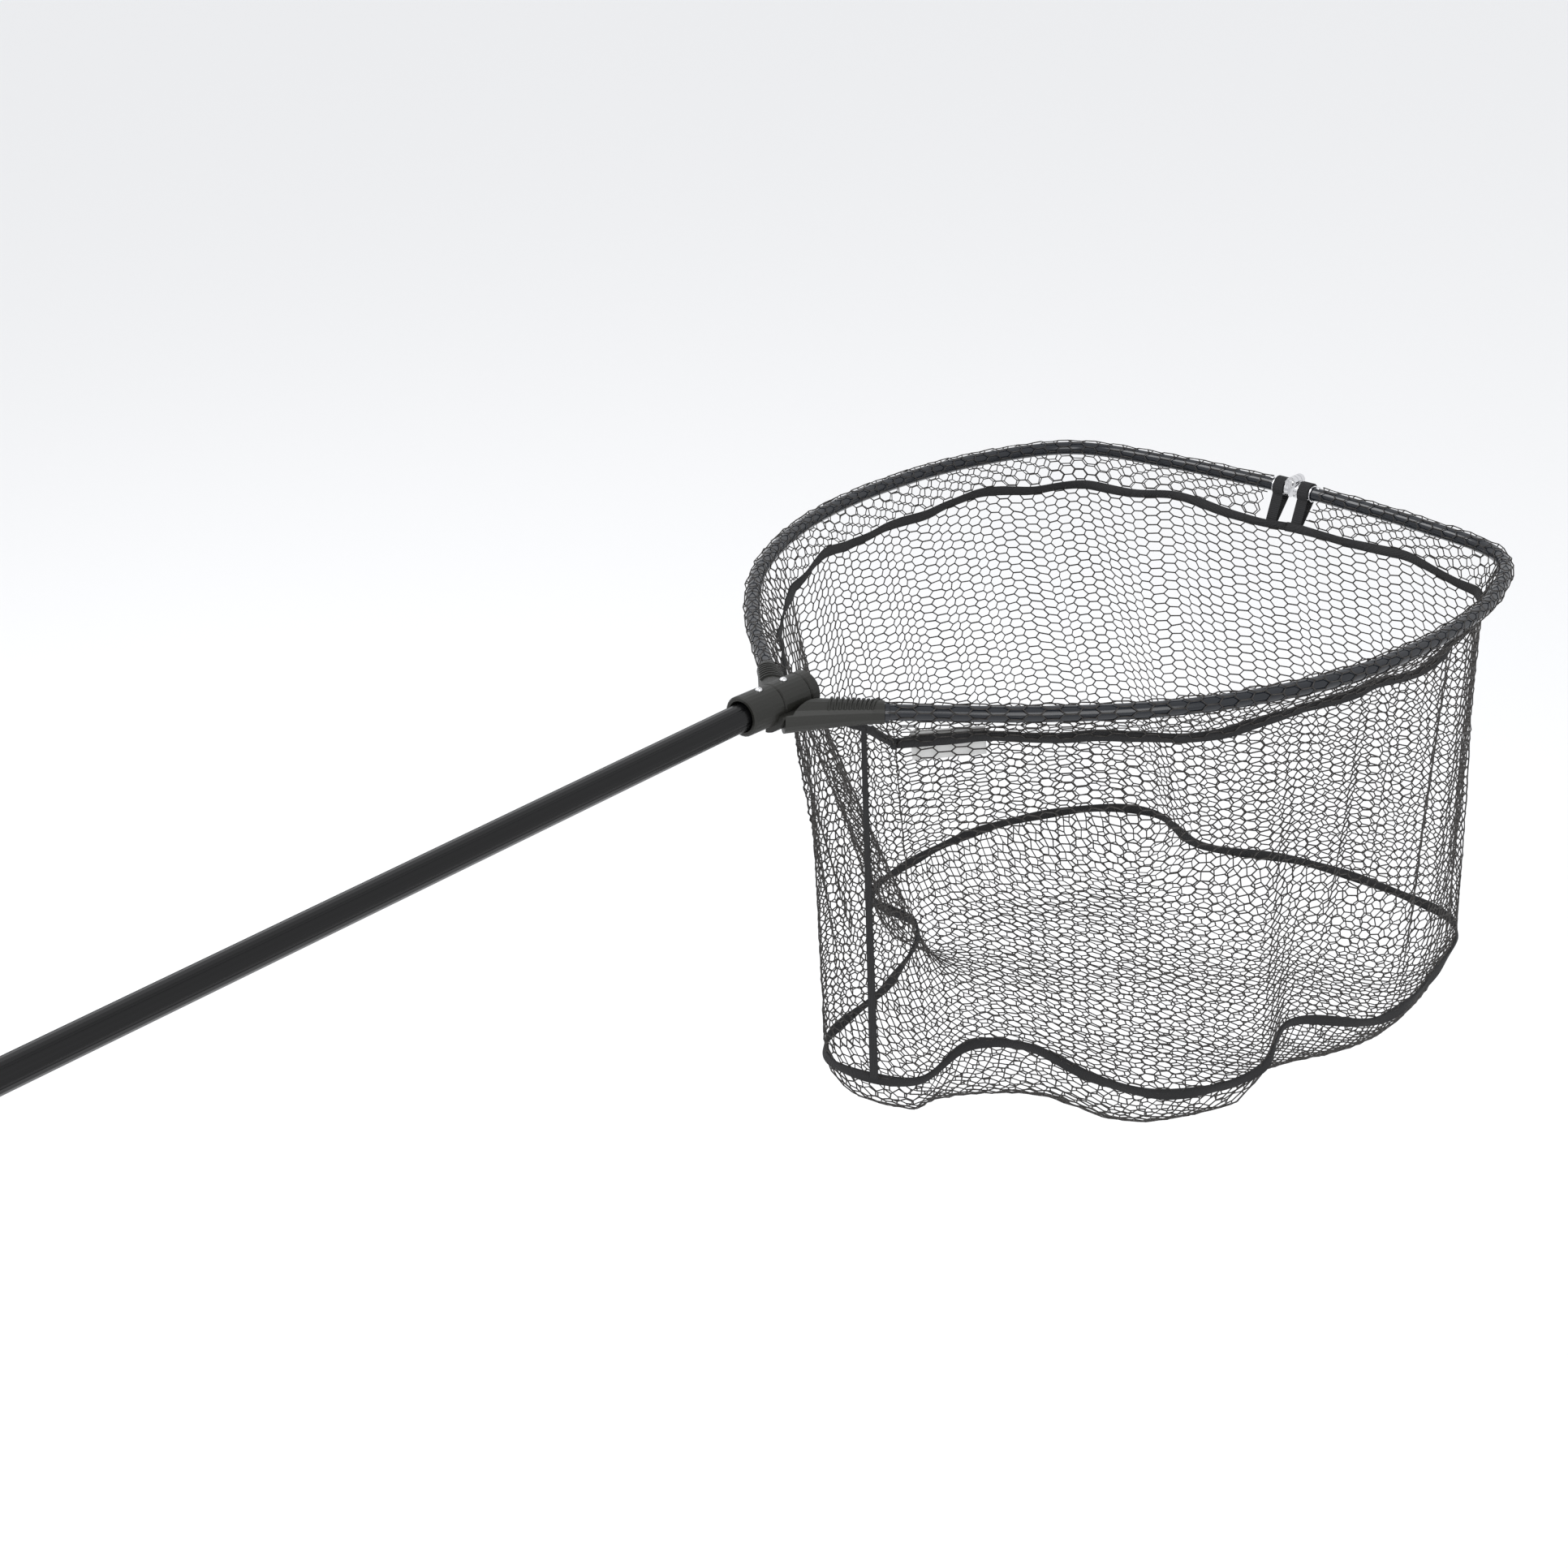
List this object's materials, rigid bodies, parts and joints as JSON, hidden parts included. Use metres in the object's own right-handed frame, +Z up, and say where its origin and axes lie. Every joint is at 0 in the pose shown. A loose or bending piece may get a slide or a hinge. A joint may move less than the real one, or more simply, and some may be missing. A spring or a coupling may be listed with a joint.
{
  "type": "folding landing net",
  "caption": "Landing net with a telescopic handle, a wide two-arm head that folds upward like a book, and a deep rubber-mesh bag.",
  "frame": {"origin": "centre of the butt cap's flat end face, on the handle's axis", "axes": "+X along the handle towards the head, +Z up out of the bag's mouth, +Y to the left arm"},
  "size_m": [2.3509, 0.6638, 0.5015],
  "materials": {
    "anodised": "gloss black anodised",
    "yoke_plastic": "fine matte",
    "net_rubber": "satin rubber coating",
    "cap_rubber": "matte",
    "grip_foam": "fine foam",
    "bright_steel": "polished",
    "webbing": "woven",
    "label": "printed satin, left blank"
  },
  "bodies": {
    "handle": {"butt_cap": "cap_rubber", "lower_tube": "anodised", "grip": "grip_foam", "lock_collar": "yoke_plastic"},
    "length_button": {"length_button": "bright_steel"},
    "shaft": {"shaft": "anodised", "guide_bush": "yoke_plastic", "yoke_journal": "yoke_plastic", "net_wall": "net_rubber", "net_floor": "net_rubber", "top_tape": "webbing", "bottom_tape": "webbing", "seam_tape": "webbing", "care_label": "label"},
    "right_arm": {"right_yoke": "yoke_plastic", "right_frame_tube": "anodised", "right_ferrule": "anodised", "right_socket_rivet": "bright_steel", "right_hinge_casting": "bright_steel", "right_casting_rivet": "bright_steel", "right_webbing_loop": "webbing"},
    "left_arm": {"left_yoke": "yoke_plastic", "left_frame_tube": "anodised", "left_ferrule": "anodised", "left_socket_rivet": "bright_steel", "left_hinge_casting": "bright_steel", "left_casting_rivet": "bright_steel", "left_webbing_loop": "webbing", "hinge_pin": "bright_steel"},
    "right_button": {"right_snap_button": "bright_steel"},
    "left_button": {"left_snap_button": "bright_steel"}
  },
  "joints": [
    {"name": "handle_telescope", "type": "slide", "parent": "handle", "child": "shaft", "axis": [1, 0, 0], "range_m": [-0.6, 0]},
    {"name": "length_button_press", "type": "slide", "parent": "handle", "child": "length_button", "axis": [0, 0, -1], "range_m": [0, 0.0022], "stiffness_N_per_m": 800},
    {"name": "right_arm_fold", "type": "hinge", "parent": "shaft", "child": "right_arm", "pos_m": [1.51, 0, 0], "axis": [-0.999, 0, 0.0436], "range_deg": [0, 75]},
    {"name": "left_arm_fold", "type": "hinge", "parent": "shaft", "child": "left_arm", "pos_m": [1.51, 0, 0], "axis": [0.999, 0, -0.0436], "range_deg": [0, 75]},
    {"name": "right_snap_press", "type": "slide", "parent": "right_arm", "child": "right_button", "axis": [-0.0436, 0, -0.999], "range_m": [0, 0.002], "stiffness_N_per_m": 800},
    {"name": "left_snap_press", "type": "slide", "parent": "left_arm", "child": "left_button", "axis": [-0.0436, 0, -0.999], "range_m": [0, 0.002], "stiffness_N_per_m": 800}
  ]
}
